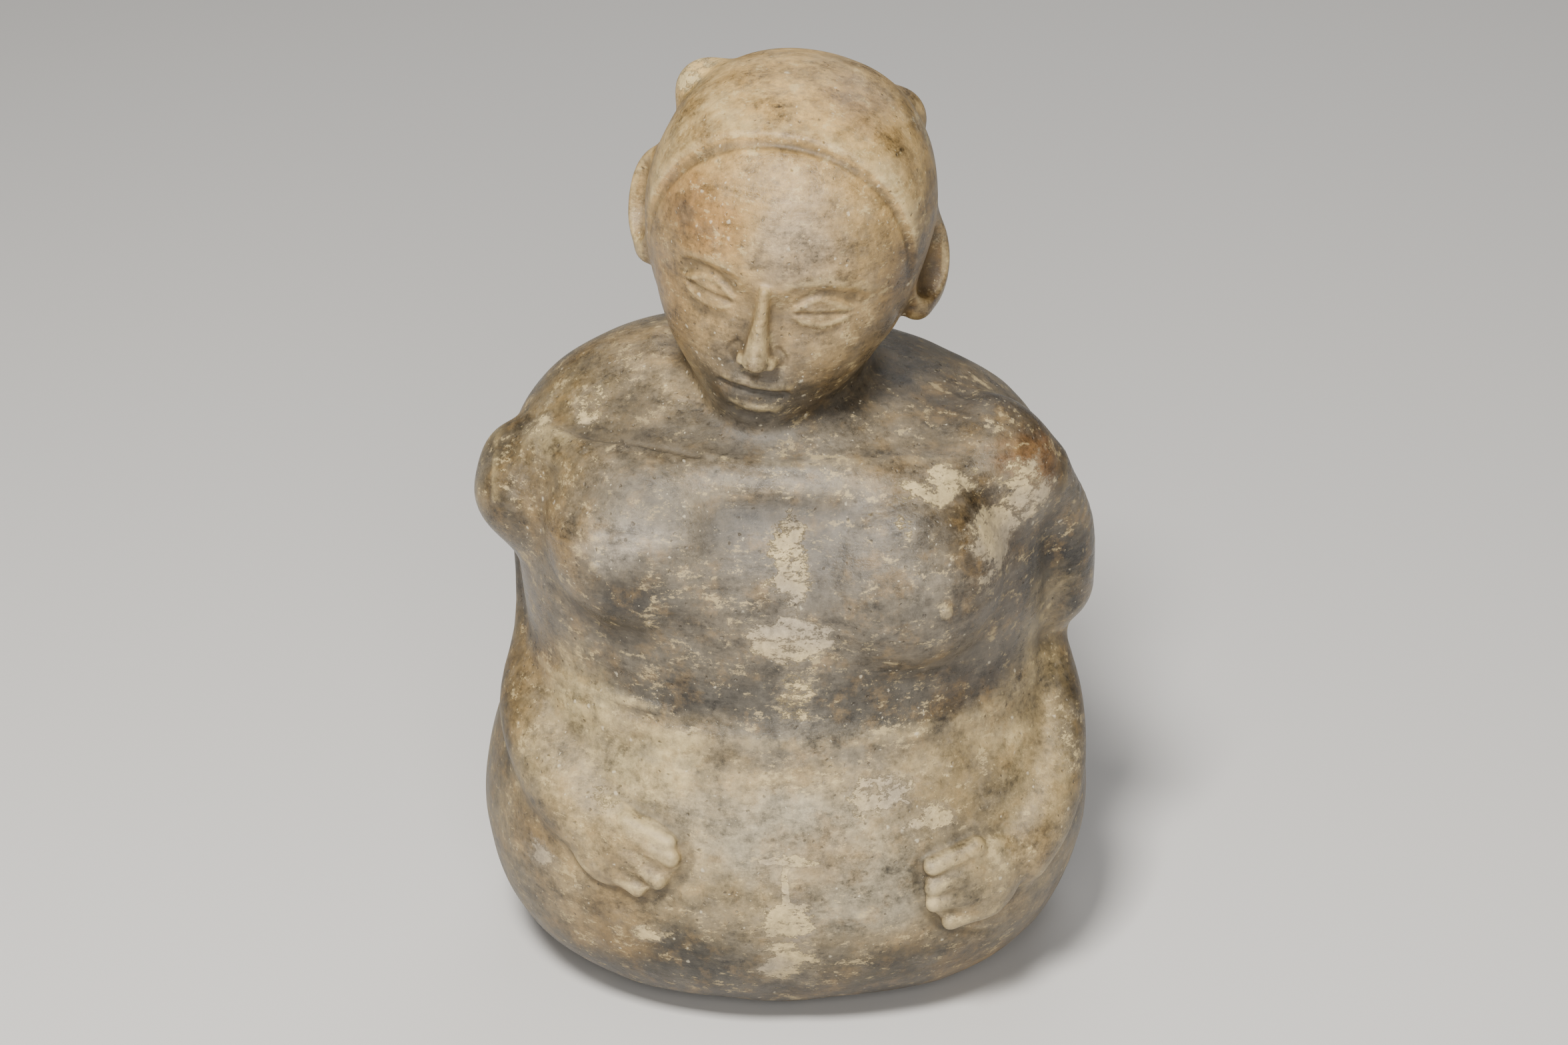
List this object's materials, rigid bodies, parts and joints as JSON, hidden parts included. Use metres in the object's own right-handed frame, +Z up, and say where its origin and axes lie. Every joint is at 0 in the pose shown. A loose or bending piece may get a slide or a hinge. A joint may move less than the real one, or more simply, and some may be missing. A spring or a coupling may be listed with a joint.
{
  "type": "human effigy bottle",
  "caption": "Hollow fired-clay bottle in the shape of a kneeling figure with its hands on its lap, with the mouth at the back of the head.",
  "frame": {"origin": "centre of the flat base, on the surface that the bottle stands on", "axes": "+Z up through the head, -Y the way that the figure faces, +X the figure's left"},
  "size_m": [0.151, 0.125, 0.2351],
  "materials": {
    "clay_lap": "burnished clay, grey tan with darker fire clouds",
    "clay_torso": "burnished clay, dark grey fire clouds with cream worn patches",
    "clay_head": "burnished clay, warm tan brown",
    "clay_hair": "burnished clay, tan with grey smoke marks",
    "clay_inside": "unburnished clay"
  },
  "bodies": {
    "root": {"lower_body": "clay_lap", "torso": "clay_torso", "neck_ring": "clay_inside", "collar_ridge": "clay_torso", "shoulder_right": "clay_torso", "shoulder_left": "clay_torso", "upper_arm_right": "clay_torso", "upper_arm_left": "clay_torso", "forearm_right": "clay_lap", "forearm_left": "clay_lap", "hand_right": "clay_lap", "hand_left": "clay_lap", "breast_right": "clay_torso", "breast_left": "clay_torso", "leg_right": "clay_lap", "leg_left": "clay_lap", "foot_right": "clay_lap", "foot_left": "clay_lap", "head": "clay_head", "nose": "clay_head", "ear_right": "clay_head", "ear_left": "clay_head", "hair_cap": "clay_hair", "hair_knob_right": "clay_hair", "hair_knob_left": "clay_hair", "mouth_rim": "clay_hair"}
  },
  "joints": []
}
